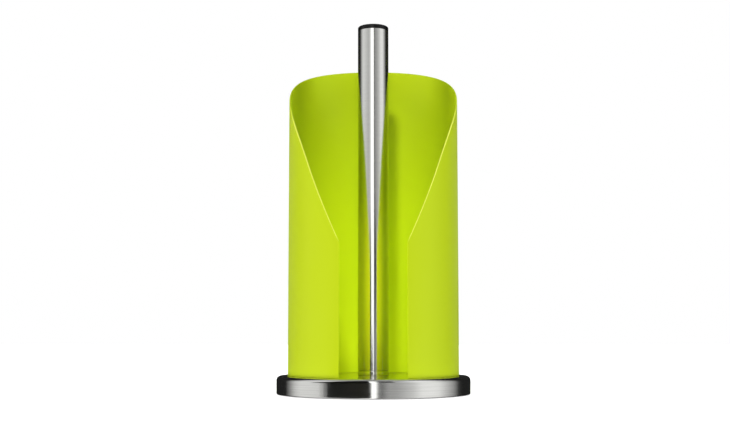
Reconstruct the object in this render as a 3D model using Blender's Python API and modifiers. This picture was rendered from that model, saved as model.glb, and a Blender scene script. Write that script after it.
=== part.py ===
"""Paper towel holder: a weighted steel dish, a steel tube with a plastic cap, and a curved sheet mantle.

Metres, +Z up. The origin is on the tube's axis, at the height of the table. The paper slit faces -Y.
"""

import math

import bmesh
import bpy
from mathutils import Matrix

# Overall sizes
OVERALL_HEIGHT = 0.3000  # table to the crown of the cap
BASE_RADIUS = 0.0775
BASE_HEIGHT = 0.0150  # table to the flat top of the dish
GAP = 0.0003  # between pieces that touch

# Base dish, drawn from steel sheet
DISH_WALL = 0.0010
DISH_TOP_ROUND = 0.0035
DISH_RIM_ROUND = 0.0009
DISH_RIM_LIFT = 0.0005  # table to the rim

# Floor plate under the dish, and the anti-slip ring in its groove
PLATE_THICKNESS = 0.0025
PLATE_RECESS = 0.0005  # rim of the dish to the plate's underside
PLATE_ACCESS_RADIUS = 0.0150  # opening for the tube bolt
RING_INSET = 0.0095  # edge of the dish to the middle of the ring
RING_WIDTH = 0.0060
RING_GROOVE_DEPTH = 0.0012

# Tube bolt, M8 with a button head
BOLT_RADIUS = 0.0040
BOLT_HEAD_RADIUS = 0.0070
BOLT_HEAD_HEIGHT = 0.0044
BOLT_LENGTH = 0.0250
BOLT_KEY_SIZE = 0.0050  # across the flats
LOCK_WASHER_RADIUS = 0.0074
LOCK_WASHER_THICKNESS = 0.0020
LOCK_WASHER_SPLIT = 0.0012
BALLAST_WEB = 0.0025  # steel left above each counterbore

# Mantle screws, M4, with clinch nuts in the mantle's tabs
MANTLE_SCREW_RADIUS = 0.0020
MANTLE_SCREW_HEAD_RADIUS = 0.0038
MANTLE_SCREW_HEAD_HEIGHT = 0.0022
MANTLE_SCREW_KEY_SIZE = 0.0025
MANTLE_SCREW_PROUD = 0.0008  # tip above the nut
WASHER_RADIUS = 0.0045
WASHER_THICKNESS = 0.0008
NUT_RADIUS = 0.0039
NUT_HEIGHT = 0.0022
NUT_COLLAR_RADIUS = 0.0029
NUT_COLLAR_HEIGHT = 0.0010
COUNTERBORE_CLEARANCE = 0.0010
SCREW_CLEARANCE = 0.0004

# Floor screws, M4, countersunk
FLOOR_SCREW_CIRCLE = 0.0400
FLOOR_SCREW_RADIUS = 0.0020
FLOOR_SCREW_HEAD_RADIUS = 0.0038
FLOOR_SCREW_HEAD_HEIGHT = 0.0019
FLOOR_SCREW_LENGTH = 0.0080
FLOOR_SCREW_SINK = 0.0002  # plate's underside to the head
FLOOR_SCREW_SLOT = 0.0009
FLOOR_SCREW_BEARINGS = (60, 180, 300)

# Tube, with its foot and cap
TUBE_RADIUS = 0.0125
TUBE_WALL = 0.0010
TUBE_EDGE_ROUND = 0.0003
FOOT_HEIGHT = 0.0038  # top of the dish to the seam under the tube
FOOT_EDGE_ROUND = 0.0005
FOOT_SPIGOT_LENGTH = 0.0250
FOOT_THREAD_DEPTH = 0.0035  # hole beyond the bolt's tip
CAP_HEIGHT = 0.0037
CAP_ROUND = 0.0010
CAP_CROWN = 0.0005
CAP_SPIGOT_LENGTH = 0.0120
CAP_SPIGOT_WALL = 0.0015
CAP_ROOF = 0.0020

# Mantle, rolled from steel sheet
MANTLE_INSET = 0.0090  # edge of the dish to the mantle's outer face
MANTLE_SHEET = 0.0010
MANTLE_TOP = 0.2780  # table to the rim, at the back
SLIT_WIDTH = 0.0516  # between the mantle's front edges
SLIT_TOP = 0.1172  # table to the corner where the slit opens out
RIM_SLOPE = math.radians(64)  # of the flat pattern's straight edge, against the table
TAB_WIDTH = 0.0140
TAB_DEPTH = 0.0090
TAB_CORNER = 0.0030
TAB_LIFT = 0.0002  # mantle's lower edge to the tabs' undersides
TAB_BEARINGS = (0, 115, 245)

# Facets
DISH_SEGMENTS = 72
TUBE_SEGMENTS = 40
BOLT_SEGMENTS = 16
MANTLE_COLUMNS = 96
ROUND_SEGMENTS = 3
SHARP_ANGLE = math.radians(30)

# Heights and radii that follow
mantle_outer = BASE_RADIUS - MANTLE_INSET
mantle_mid = mantle_outer - MANTLE_SHEET / 2
mantle_inner = mantle_outer - MANTLE_SHEET
dish_inner = BASE_RADIUS - DISH_WALL
dish_ceiling = BASE_HEIGHT - DISH_WALL
dish_inner_round = DISH_TOP_ROUND - DISH_WALL
plate_floor = DISH_RIM_LIFT + PLATE_RECESS
plate_top = plate_floor + PLATE_THICKNESS
ballast_floor = plate_top + GAP
ballast_top = dish_ceiling - GAP
counterbore_roof = ballast_top - BALLAST_WEB
ring_radius = BASE_RADIUS - RING_INSET
seat = BASE_HEIGHT + GAP  # what stands on the dish
tab_screw_circle = mantle_inner - TAB_DEPTH / 2
tab_floor = seat + TAB_LIFT
tab_top = tab_floor + MANTLE_SHEET
nut_seat = tab_top + GAP
tube_floor = BASE_HEIGHT + FOOT_HEIGHT + GAP
cap_seat = OVERALL_HEIGHT - CAP_HEIGHT
tube_bore = TUBE_RADIUS - TUBE_WALL
spigot_radius = tube_bore - GAP


def clear_scene():
    for obj in list(bpy.data.objects):
        bpy.data.objects.remove(obj)


def new_collection(name):
    collection = bpy.data.collections.new(name)
    bpy.context.scene.collection.children.link(collection)
    return collection


def new_material(name, colour, metallic, roughness):
    material = bpy.data.materials.new(name)
    material.use_nodes = True
    shader = material.node_tree.nodes["Principled BSDF"]
    shader.inputs["Base Color"].default_value = (*colour, 1)
    shader.inputs["Metallic"].default_value = metallic
    shader.inputs["Roughness"].default_value = roughness
    return material


def add_part(name, mesh, material, place=(0, 0, 0), turn=0):
    """A named piece of the assembly, at its place and turned about +Z by an angle in radians."""
    mesh.materials.append(material)
    part = bpy.data.objects.new(name, mesh)
    part.location = place
    part.rotation_euler.z = turn
    part.parent = assembly
    parts.objects.link(part)
    return part


def polar(radius, bearing, height):
    """The point at a radius and height, at a bearing in degrees from +Y towards -X."""
    angle = math.radians(bearing)
    return (-radius * math.sin(angle), radius * math.cos(angle), height)


def arc(centre_x, centre_z, radius, start, end):
    """Points of a circle in the XZ plane, from one angle to another in degrees."""
    step = (end - start) / ROUND_SEGMENTS
    angles = [math.radians(start + step * number) for number in range(ROUND_SEGMENTS + 1)]
    return [(centre_x + radius * math.cos(a), centre_z + radius * math.sin(a)) for a in angles]


def turned_mesh(profile, segments):
    """Turns a profile of (radius, height) points round +Z.

    A profile that starts and ends on the axis stays open there, and any other is closed into a ring.
    """
    on_axis = profile[0][0] == 0 and profile[-1][0] == 0
    count = len(profile)
    edges = [(i, (i + 1) % count) for i in range(count - 1 if on_axis else count)]
    outline = bpy.data.meshes.new("profile")
    outline.from_pydata([(x, 0, z) for x, z in profile], edges, [])
    guide = bpy.data.objects.new("profile", outline)
    cutters.objects.link(guide)
    screw = guide.modifiers.new("turn", "SCREW")
    screw.steps = segments
    screw.render_steps = segments
    screw.use_merge_vertices = True
    screw.merge_threshold = 0.00001
    mesh = settled_mesh(guide)
    bpy.data.objects.remove(guide)
    bpy.data.meshes.remove(outline)
    return mesh


def settled_mesh(obj):
    """What an object's modifiers make of it, as a mesh shaded smooth with its corners sharp."""
    graph = bpy.context.evaluated_depsgraph_get()
    mesh = bpy.data.meshes.new_from_object(obj.evaluated_get(graph))
    mesh.shade_smooth()
    mesh.set_sharp_from_angle(angle=SHARP_ANGLE)
    return mesh


def add_cutter(name, mesh, place=(0, 0, 0), turn=0):
    cutter = bpy.data.objects.new(name, mesh)
    cutter.location = place
    cutter.rotation_euler.z = turn
    cutter.hide_render = True
    cutter.display_type = "WIRE"
    cutters.objects.link(cutter)
    return cutter


def cylinder_mesh(radius, low, high, segments):
    body = bmesh.new()
    bmesh.ops.create_cone(
        body, cap_ends=True, segments=segments, radius1=radius, radius2=radius, depth=high - low
    )
    bmesh.ops.translate(body, verts=body.verts, vec=(0, 0, (low + high) / 2))
    mesh = bpy.data.meshes.new("cylinder")
    body.to_mesh(mesh)
    body.free()
    return mesh


def box_mesh(low, high):
    size = [b - a for a, b in zip(low, high)]
    middle = [(a + b) / 2 for a, b in zip(low, high)]
    body = bmesh.new()
    bmesh.ops.create_cube(body, size=1, matrix=Matrix.Translation(middle) @ Matrix.Diagonal((*size, 1)))
    mesh = bpy.data.meshes.new("box")
    body.to_mesh(mesh)
    body.free()
    return mesh


def add_boolean(part, other, operation):
    boolean = part.modifiers.new(other.name, "BOOLEAN")
    boolean.operation = operation
    boolean.object = other
    boolean.solver = "EXACT"


def cut_hole(part, name, radius, place, low, high):
    """Cuts a round hole between two heights, upright at the X and Y of a place."""
    mesh = cylinder_mesh(radius, low, high, BOLT_SEGMENTS)
    cutter = add_cutter(name, mesh, (place[0], place[1], 0))
    add_boolean(part, cutter, "DIFFERENCE")


def cut_key(part, across_flats, depth):
    """Cuts a hexagonal socket into the head of a screw whose head starts at its own origin."""
    corner_radius = across_flats / math.sqrt(3)
    socket = cylinder_mesh(corner_radius, -depth, depth, 6)
    add_boolean(part, add_cutter(part.name + "_key", socket, part.location), "DIFFERENCE")


def make_base_dish():
    rim = DISH_RIM_LIFT
    rim_round = min(DISH_RIM_ROUND, 0.9 * DISH_WALL)
    hole = BOLT_RADIUS + SCREW_CLEARANCE
    corner = DISH_TOP_ROUND
    profile = [(hole, BASE_HEIGHT)]
    profile += arc(BASE_RADIUS - corner, BASE_HEIGHT - corner, corner, 90, 0)
    profile += arc(BASE_RADIUS - rim_round, rim + rim_round, rim_round, 0, -90)
    profile += [(dish_inner, rim)]
    profile += arc(dish_inner - dish_inner_round, dish_ceiling - dish_inner_round, dish_inner_round, 0, 90)
    profile += [(hole, dish_ceiling)]
    dish = add_part("base_dish", turned_mesh(profile, DISH_SEGMENTS), brushed_steel)
    for bearing in TAB_BEARINGS:
        place = polar(tab_screw_circle, bearing, 0)
        radius = MANTLE_SCREW_RADIUS + SCREW_CLEARANCE
        cut_hole(dish, "dish_screw_hole", radius, place, dish_ceiling - DISH_WALL, BASE_HEIGHT + DISH_WALL)


def make_ballast_disc():
    edge = dish_inner - GAP
    corner = max(dish_inner_round - GAP, GAP)
    bore = BOLT_RADIUS + SCREW_CLEARANCE
    counterbore = LOCK_WASHER_RADIUS + COUNTERBORE_CLEARANCE
    profile = [(bore, ballast_top)]
    profile += arc(edge - corner, ballast_top - corner, corner, 90, 0)
    profile += [(edge, ballast_floor), (counterbore, ballast_floor)]
    profile += [(counterbore, counterbore_roof), (bore, counterbore_roof)]
    disc = add_part("ballast_disc", turned_mesh(profile, DISH_SEGMENTS), mild_steel)
    below = ballast_floor - BALLAST_WEB
    above = ballast_top + BALLAST_WEB
    for bearing in TAB_BEARINGS:
        place = polar(tab_screw_circle, bearing, 0)
        cut_hole(disc, "ballast_bore", MANTLE_SCREW_RADIUS + SCREW_CLEARANCE, place, below, above)
        wide = WASHER_RADIUS + COUNTERBORE_CLEARANCE
        cut_hole(disc, "ballast_counterbore", wide, place, below, counterbore_roof)
    tip = plate_floor + FLOOR_SCREW_SINK + FLOOR_SCREW_LENGTH
    for bearing in FLOOR_SCREW_BEARINGS:
        place = polar(FLOOR_SCREW_CIRCLE, bearing, 0)
        cut_hole(disc, "ballast_tapping", FLOOR_SCREW_RADIUS + GAP, place, below, tip + GAP)


def make_floor_plate():
    edge = dish_inner - GAP
    groove_roof = plate_floor + RING_GROOVE_DEPTH
    groove_half = RING_WIDTH / 2 + GAP
    profile = [(PLATE_ACCESS_RADIUS, plate_top), (edge, plate_top), (edge, plate_floor)]
    profile += [(ring_radius + groove_half, plate_floor), (ring_radius + groove_half, groove_roof)]
    profile += [(ring_radius - groove_half, groove_roof), (ring_radius - groove_half, plate_floor)]
    profile += [(PLATE_ACCESS_RADIUS, plate_floor)]
    plate = add_part("floor_plate", turned_mesh(profile, DISH_SEGMENTS), matt_black)
    for bearing in FLOOR_SCREW_BEARINGS:
        place = polar(FLOOR_SCREW_CIRCLE, bearing, 0)
        sunk = plate_floor + FLOOR_SCREW_SINK + FLOOR_SCREW_HEAD_HEIGHT
        wide = FLOOR_SCREW_HEAD_RADIUS + GAP
        narrow = FLOOR_SCREW_RADIUS + GAP
        below = plate_floor - PLATE_THICKNESS
        above = plate_top + PLATE_THICKNESS
        hole = [(0, above), (narrow, above), (narrow, sunk)]
        hole += [(wide, plate_floor + FLOOR_SCREW_SINK), (wide, below), (0, below)]
        cutter = add_cutter("plate_countersink", turned_mesh(hole, BOLT_SEGMENTS), (place[0], place[1], 0))
        add_boolean(plate, cutter, "DIFFERENCE")


def make_anti_slip_ring():
    top = plate_floor + RING_GROOVE_DEPTH - GAP
    outer = ring_radius + RING_WIDTH / 2
    inner = ring_radius - RING_WIDTH / 2
    profile = [(inner, top), (outer, top), (outer, 0), (inner, 0)]
    add_part("anti_slip_ring", turned_mesh(profile, DISH_SEGMENTS), grey_rubber)


def make_floor_screws():
    head = FLOOR_SCREW_HEAD_RADIUS
    shank = FLOOR_SCREW_RADIUS
    profile = [(0, FLOOR_SCREW_LENGTH), (shank - GAP, FLOOR_SCREW_LENGTH)]
    profile += [(shank, FLOOR_SCREW_LENGTH - GAP), (shank, FLOOR_SCREW_HEAD_HEIGHT)]
    profile += [(head, GAP), (head, 0), (0, 0)]
    for number, bearing in enumerate(FLOOR_SCREW_BEARINGS, 1):
        place = polar(FLOOR_SCREW_CIRCLE, bearing, plate_floor + FLOOR_SCREW_SINK)
        mesh = turned_mesh(profile, BOLT_SEGMENTS)
        screw = add_part(f"floor_screw_{number}", mesh, zinc_plate, place)
        for across in (0, 90):
            slot = box_mesh(
                (-head * 0.6, -FLOOR_SCREW_SLOT / 2, -head), (head * 0.6, FLOOR_SCREW_SLOT / 2, head * 0.35)
            )
            turn = math.radians(bearing + across)
            cutter = add_cutter(f"floor_screw_{number}_slot_{across}", slot, place, turn)
            add_boolean(screw, cutter, "DIFFERENCE")


def make_tube_bolt():
    washer_top = counterbore_roof - GAP
    head_top = washer_top - LOCK_WASHER_THICKNESS - GAP
    bore = BOLT_RADIUS + GAP
    ring = [(bore, washer_top), (LOCK_WASHER_RADIUS, washer_top)]
    ring += [(radius, washer_top - LOCK_WASHER_THICKNESS) for radius in (LOCK_WASHER_RADIUS, bore)]
    washer = add_part("tube_lock_washer", turned_mesh(ring, BOLT_SEGMENTS * 2), zinc_plate)
    split = box_mesh(
        (bore / 2, -LOCK_WASHER_SPLIT / 2, washer_top - 2 * LOCK_WASHER_THICKNESS),
        (2 * LOCK_WASHER_RADIUS, LOCK_WASHER_SPLIT / 2, washer_top + LOCK_WASHER_THICKNESS),
    )
    add_boolean(washer, add_cutter("lock_washer_split", split), "DIFFERENCE")

    dome = BOLT_HEAD_HEIGHT * 0.7
    tip = BOLT_HEAD_HEIGHT + BOLT_LENGTH
    profile = [(0, tip), (BOLT_RADIUS - 2 * GAP, tip), (BOLT_RADIUS, tip - 2 * GAP)]
    profile += [(BOLT_RADIUS, BOLT_HEAD_HEIGHT), (BOLT_HEAD_RADIUS, BOLT_HEAD_HEIGHT)]
    profile += [(BOLT_HEAD_RADIUS, dome), (BOLT_HEAD_RADIUS * 0.86, dome / 3), (BOLT_HEAD_RADIUS * 0.6, 0)]
    profile += [(0, 0)]
    place = (0, 0, head_top - BOLT_HEAD_HEIGHT)
    bolt = add_part("tube_bolt", turned_mesh(profile, BOLT_SEGMENTS), zinc_plate, place)
    cut_key(bolt, BOLT_KEY_SIZE, BOLT_HEAD_HEIGHT * 0.6)
    return place[2] + tip


def make_tube_foot(bolt_tip):
    seam = BASE_HEIGHT + FOOT_HEIGHT
    spigot_top = seam + FOOT_SPIGOT_LENGTH
    bore = BOLT_RADIUS + GAP
    bore_top = bolt_tip + FOOT_THREAD_DEPTH
    edge = FOOT_EDGE_ROUND
    profile = [(0, spigot_top), (spigot_radius - edge, spigot_top), (spigot_radius, spigot_top - edge)]
    profile += [(spigot_radius, seam)]
    profile += arc(TUBE_RADIUS - edge, seam - edge, edge, 90, 0)
    profile += arc(TUBE_RADIUS - edge, seat + edge, edge, 0, -90)
    profile += [(bore, seat), (bore, bore_top - bore / 2), (0, bore_top)]
    add_part("tube_foot", turned_mesh(profile, TUBE_SEGMENTS), polished_steel)


def make_tube():
    top = cap_seat - GAP
    edge = min(TUBE_EDGE_ROUND, 0.45 * TUBE_WALL)
    profile = [(tube_bore, top)]
    profile += arc(TUBE_RADIUS - edge, top - edge, edge, 90, 0)
    profile += arc(TUBE_RADIUS - edge, tube_floor + edge, edge, 0, -90)
    profile += [(tube_bore, tube_floor)]
    add_part("tube", turned_mesh(profile, TUBE_SEGMENTS), brushed_steel)


def make_tube_cap():
    shoulder = OVERALL_HEIGHT - CAP_CROWN
    hollow = spigot_radius - CAP_SPIGOT_WALL
    floor = cap_seat - CAP_SPIGOT_LENGTH
    roof = OVERALL_HEIGHT - CAP_CROWN - CAP_ROOF
    profile = [(0, OVERALL_HEIGHT), (TUBE_RADIUS / 2, OVERALL_HEIGHT - CAP_CROWN * 0.3)]
    profile += arc(TUBE_RADIUS - CAP_ROUND, shoulder - CAP_ROUND, CAP_ROUND, 90, 0)
    profile += [(TUBE_RADIUS, cap_seat), (spigot_radius, cap_seat)]
    profile += [(spigot_radius, floor + GAP), (spigot_radius - GAP, floor), (hollow, floor)]
    profile += [(hollow, roof), (0, roof)]
    add_part("tube_cap", turned_mesh(profile, TUBE_SEGMENTS), gloss_black)


def rim_height(along):
    """Height of the mantle's rim above the table, at a distance along the sheet from its back centreline.

    On the flat sheet the rim is an arc about the centreline, and then the arc's tangent down to the slit.
    """
    slit_edge = mantle_mid * slit_bearing()
    drop = SLIT_TOP - MANTLE_TOP + math.tan(RIM_SLOPE) * slit_edge
    radius = drop / (1 / math.cos(RIM_SLOPE) - 1)
    tangent = radius * math.sin(RIM_SLOPE)
    along = abs(along)
    if along <= tangent:
        return MANTLE_TOP - radius + math.sqrt(radius**2 - along**2)
    tangent_height = MANTLE_TOP - radius + radius * math.cos(RIM_SLOPE)
    return tangent_height - math.tan(RIM_SLOPE) * (along - tangent)


def slit_bearing():
    """Angle from the back centreline to the slit's edge, in radians."""
    return math.pi - math.asin(SLIT_WIDTH / 2 / mantle_mid)


def make_mantle():
    body = bmesh.new()
    bmesh.ops.create_grid(body, x_segments=MANTLE_COLUMNS, y_segments=1, size=1)
    for vert in body.verts:
        bearing = vert.co.x * slit_bearing()
        height = seat if vert.co.y < 0 else rim_height(mantle_mid * bearing)
        vert.co = polar(mantle_mid, math.degrees(bearing), height)
    mesh = bpy.data.meshes.new("mantle")
    body.to_mesh(mesh)
    body.free()
    mantle = add_part("mantle", mesh, powder_coat)
    sheet = mantle.modifiers.new("sheet", "SOLIDIFY")
    sheet.thickness = MANTLE_SHEET
    sheet.offset = 0
    sheet.use_even_offset = True
    reach = math.sqrt((mantle_outer - 0.2 * MANTLE_SHEET) ** 2 - (TAB_WIDTH / 2) ** 2)
    for bearing in TAB_BEARINGS:
        low = (-TAB_WIDTH / 2, mantle_inner - TAB_DEPTH, tab_floor)
        high = (TAB_WIDTH / 2, reach, tab_top)
        tab = box_mesh(low, high)
        round_inner_corners(tab)
        turn = math.radians(bearing)
        add_boolean(mantle, add_cutter("mantle_tab", tab, turn=turn), "UNION")
        place = polar(tab_screw_circle, bearing, 0)
        hole = NUT_COLLAR_RADIUS + GAP
        cut_hole(mantle, "tab_hole", hole, place, tab_floor - MANTLE_SHEET, tab_top + MANTLE_SHEET)


def round_inner_corners(tab):
    """Rounds the two upright edges of a tab that face the tube."""
    body = bmesh.new()
    body.from_mesh(tab)
    inner = min(vert.co.y for vert in body.verts)
    corners = [
        edge
        for edge in body.edges
        if all(math.isclose(vert.co.y, inner, abs_tol=GAP) for vert in edge.verts)
        and edge.verts[0].co.z != edge.verts[1].co.z
    ]
    bmesh.ops.bevel(
        body, geom=corners, offset=TAB_CORNER, segments=ROUND_SEGMENTS, profile=0.5, affect="EDGES"
    )
    body.to_mesh(tab)
    body.free()


def make_mantle_fixings():
    washer_top = counterbore_roof - GAP
    head_top = washer_top - WASHER_THICKNESS - GAP
    tip = nut_seat + NUT_HEIGHT + MANTLE_SCREW_PROUD
    bore = MANTLE_SCREW_RADIUS + GAP
    head = MANTLE_SCREW_HEAD_RADIUS
    head_floor = head_top - MANTLE_SCREW_HEAD_HEIGHT
    shank = MANTLE_SCREW_RADIUS
    length = tip - head_floor
    screw = [(0, length), (shank - GAP, length), (shank, length - GAP)]
    screw += [(shank, MANTLE_SCREW_HEAD_HEIGHT), (head, MANTLE_SCREW_HEAD_HEIGHT)]
    screw += [(head, MANTLE_SCREW_HEAD_HEIGHT * 0.7), (head * 0.6, 0), (0, 0)]
    washer = [(bore, WASHER_THICKNESS), (WASHER_RADIUS, WASHER_THICKNESS), (WASHER_RADIUS, 0), (bore, 0)]
    nut = [(bore, NUT_HEIGHT), (NUT_RADIUS - GAP, NUT_HEIGHT), (NUT_RADIUS, NUT_HEIGHT - GAP)]
    nut += [(NUT_RADIUS, 0), (NUT_COLLAR_RADIUS, 0)]
    nut += [(NUT_COLLAR_RADIUS, -NUT_COLLAR_HEIGHT), (bore, -NUT_COLLAR_HEIGHT)]
    for number, bearing in enumerate(TAB_BEARINGS, 1):
        place = polar(tab_screw_circle, bearing, head_floor)
        part = add_part(f"mantle_screw_{number}", turned_mesh(screw, BOLT_SEGMENTS), zinc_plate, place)
        cut_key(part, MANTLE_SCREW_KEY_SIZE, MANTLE_SCREW_HEAD_HEIGHT * 0.6)
        place = polar(tab_screw_circle, bearing, washer_top - WASHER_THICKNESS)
        add_part(f"mantle_washer_{number}", turned_mesh(washer, BOLT_SEGMENTS), zinc_plate, place)
        place = polar(tab_screw_circle, bearing, nut_seat)
        add_part(f"mantle_nut_{number}", turned_mesh(nut, BOLT_SEGMENTS), zinc_plate, place)


clear_scene()
parts = new_collection("paper_towel_holder")
cutters = new_collection("cutters")
assembly = bpy.data.objects.new("assembly", None)
parts.objects.link(assembly)

brushed_steel = new_material("brushed stainless steel", (0.62, 0.61, 0.60), 1, 0.30)
polished_steel = new_material("polished stainless steel", (0.66, 0.65, 0.64), 1, 0.15)
zinc_plate = new_material("zinc-plated steel", (0.55, 0.57, 0.60), 1, 0.35)
mild_steel = new_material("turned mild steel", (0.20, 0.20, 0.21), 1, 0.55)
powder_coat = new_material("lime powder coat", (0.48, 0.69, 0.012), 0, 0.35)
gloss_black = new_material("gloss black plastic", (0.012, 0.012, 0.013), 0, 0.15)
matt_black = new_material("matt black plastic", (0.020, 0.020, 0.021), 0, 0.60)
grey_rubber = new_material("grey rubber", (0.10, 0.10, 0.10), 0, 0.85)

make_base_dish()
make_ballast_disc()
make_floor_plate()
make_anti_slip_ring()
make_floor_screws()
make_tube_foot(make_tube_bolt())
make_tube()
make_tube_cap()
make_mantle()
make_mantle_fixings()
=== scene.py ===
import math

import bmesh
import bpy
import numpy as np
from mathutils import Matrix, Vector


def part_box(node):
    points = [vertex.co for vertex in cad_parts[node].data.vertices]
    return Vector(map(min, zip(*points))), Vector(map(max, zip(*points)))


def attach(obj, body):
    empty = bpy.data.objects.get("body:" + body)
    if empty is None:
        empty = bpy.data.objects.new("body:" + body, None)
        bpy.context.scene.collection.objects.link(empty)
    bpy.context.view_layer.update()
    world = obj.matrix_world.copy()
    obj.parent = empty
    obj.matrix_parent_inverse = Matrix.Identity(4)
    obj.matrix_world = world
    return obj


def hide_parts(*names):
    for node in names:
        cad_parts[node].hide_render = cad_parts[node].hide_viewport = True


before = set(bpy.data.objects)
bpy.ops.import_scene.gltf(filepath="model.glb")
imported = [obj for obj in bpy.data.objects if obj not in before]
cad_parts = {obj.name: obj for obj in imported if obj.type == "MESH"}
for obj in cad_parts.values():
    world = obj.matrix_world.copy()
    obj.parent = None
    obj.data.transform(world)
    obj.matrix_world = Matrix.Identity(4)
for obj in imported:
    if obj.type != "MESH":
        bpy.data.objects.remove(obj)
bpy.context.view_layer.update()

# Camera: low, close and a little below the middle of the holder, turned up to take in the cap. It stands in
# front of the paper slit, and a small shift leaves the same white margin above the cap and below the base.
camera_distance = 0.9080  # in front of the tube's axis
camera_height = 0.0481
camera_pitch = math.radians(5.06)
camera_yaw = math.radians(0.424)

lens = bpy.data.cameras.new("camera")
lens.lens = 55.46
lens.sensor_width = 36
lens.shift_y = 0.03
lens.clip_start = 0.01
camera = bpy.data.objects.new("camera", lens)
camera.location = (0, -camera_distance, camera_height)
camera.rotation_euler = (math.pi / 2 + camera_pitch, 0, camera_yaw)
bpy.context.collection.objects.link(camera)
bpy.context.scene.camera = camera
bpy.context.scene.view_settings.view_transform = "Standard"


# Table and light: a plain white table in a studio, with a bright window in front and grey walls that fall off
# to black behind. Softboxes and slim strip lamps light the holder, and cards of black velvet and net shape
# what the steel mirrors.
def linear(hex_colour):
    """sRGB hex to linear RGB: ((c + 0.055) / 1.055) to the power 2.4, or c / 12.92 where it is dark."""
    shade = np.array([int(hex_colour[i : i + 2], 16) for i in (1, 3, 5)]) / 255
    curve = np.where(shade > 0.04045, ((shade + 0.055) / 1.055) ** 2.4, shade / 12.92)
    return (*curve.tolist(), 1)


def add(tree, kind, inputs=None, stops=None, **settings):
    """Adds a shader node: its settings, its ramp's stops, and each input's value or the output linked in."""
    made = tree.nodes.new(kind)
    for name, value in settings.items():
        setattr(made, name, value)
    for place, value in stops or ():
        stop = made.color_ramp.elements.new(place)
        stop.color = (value, value, value, 1)
    if stops:
        made.color_ramp.elements.remove(made.color_ramp.elements[-1])
        made.color_ramp.elements.remove(made.color_ramp.elements[0])
    for socket, value in (inputs or {}).items():
        if isinstance(value, bpy.types.NodeSocket):
            tree.links.new(value, made.inputs[socket])
        else:
            made.inputs[socket].default_value = value
    return made


def new_material(name, colour, roughness, metallic=0.0, ior=None):
    """A material with its Principled shader's uniform values set on the shader's own sockets."""
    material = bpy.data.materials.new(name)
    material.use_nodes = True
    shader = material.node_tree.nodes["Principled BSDF"]
    shader.inputs["Base Color"].default_value = linear(colour)
    shader.inputs["Roughness"].default_value = roughness
    shader.inputs["Metallic"].default_value = metallic
    if ior:
        shader.inputs["IOR"].default_value = ior
    return material, material.node_tree, shader


def bearing_stops(levels):
    """Ramp stops from brightness at bearings: place = bearing / 360 + 0.5, so the front is in the middle."""
    return [(bearing / 360 + 0.5, level) for bearing, level in levels]


# Brightness of the walls at bearings in degrees: 0 is the front, where the window is, and 90 is the right.
room_levels = (
    (-179, 0.01), (-124, 0.01), (-116, 0.14), (-104, 0.40), (-95, 0.50), (-86, 0.50), (-72, 0.49),
    (-60, 0.44), (-50, 0.40), (-36, 0.34), (-24, 0.42), (-19, 0.60), (-15, 1.0), (3.4, 1.0), (4.8, 0.10),
    (10, 0.11), (17, 0.24), (27, 0.26), (37, 0.34), (47, 0.42), (58, 0.58), (72, 0.60), (82, 0.56),
    (94, 0.38), (108, 0.20), (118, 0.03), (126, 0.01), (179, 0.01),
)
room_strength = 2.0
ceiling_level = 0.22
ceiling_start = 0.8  # sine of the elevation where the walls begin to turn into the ceiling
ceiling_end = 0.95
soft_level = 0.02  # the walls' even light on everything that doesn't mirror them

world = bpy.data.worlds.new("room")
bpy.context.scene.world = world
world.use_nodes = True
tree = world.node_tree
tree.nodes.clear()
direction = add(tree, "ShaderNodeTexCoord")
split = add(tree, "ShaderNodeSeparateXYZ", {"Vector": direction.outputs["Generated"]})
ahead = add(tree, "ShaderNodeMath", {0: split.outputs["Y"], 1: -1.0}, operation="MULTIPLY")
bearing = add(tree, "ShaderNodeMath", {0: split.outputs["X"], 1: ahead.outputs[0]}, operation="ARCTAN2")
turn = add(
    tree, "ShaderNodeMapRange", {"Value": bearing.outputs[0], "From Min": -math.pi, "From Max": math.pi}
)
walls = add(tree, "ShaderNodeValToRGB", {"Fac": turn.outputs[0]}, stops=bearing_stops(room_levels))
overhead = add(
    tree,
    "ShaderNodeMapRange",
    {"Value": split.outputs["Z"], "From Min": ceiling_start, "From Max": ceiling_end},
)
room = add(
    tree,
    "ShaderNodeMix",
    {"Factor": overhead.outputs[0], "A": walls.outputs[0], "B": ceiling_level},
    data_type="FLOAT",
)
bright = add(tree, "ShaderNodeMath", {0: room.outputs[0], 1: room_strength}, operation="MULTIPLY")
ray = add(tree, "ShaderNodeLightPath")
mirrored = add(
    tree,
    "ShaderNodeMix",
    {"Factor": ray.outputs["Is Glossy Ray"], "A": soft_level, "B": bright.outputs[0]},
    data_type="FLOAT",
)
behind = add(
    tree,
    "ShaderNodeMix",
    {"Factor": ray.outputs["Is Camera Ray"], "A": mirrored.outputs[0], "B": 1.0},
    data_type="FLOAT",
)
glow = add(tree, "ShaderNodeBackground", {"Color": linear("#FFFFFF"), "Strength": behind.outputs[0]})
add(tree, "ShaderNodeOutputWorld", {"Surface": glow.outputs[0]})

table_half = 4.0
table_gap = 0.0001  # table to the rubber ring
table_glow = 0.75  # exposed to plain white, so only a faint contact shadow is left
table_signs = ((-1, -1), (1, -1), (1, 1), (-1, 1))
table_corners = [(x * table_half, y * table_half, -table_gap) for x, y in table_signs]
table_mesh = bpy.data.meshes.new("table")
table_mesh.from_pydata(table_corners, [], [(0, 1, 2, 3)])
table = bpy.data.objects.new("table", table_mesh)
table.visible_glossy = False
table.visible_shadow = False
table.visible_diffuse = False
bpy.context.collection.objects.link(table)

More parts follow.
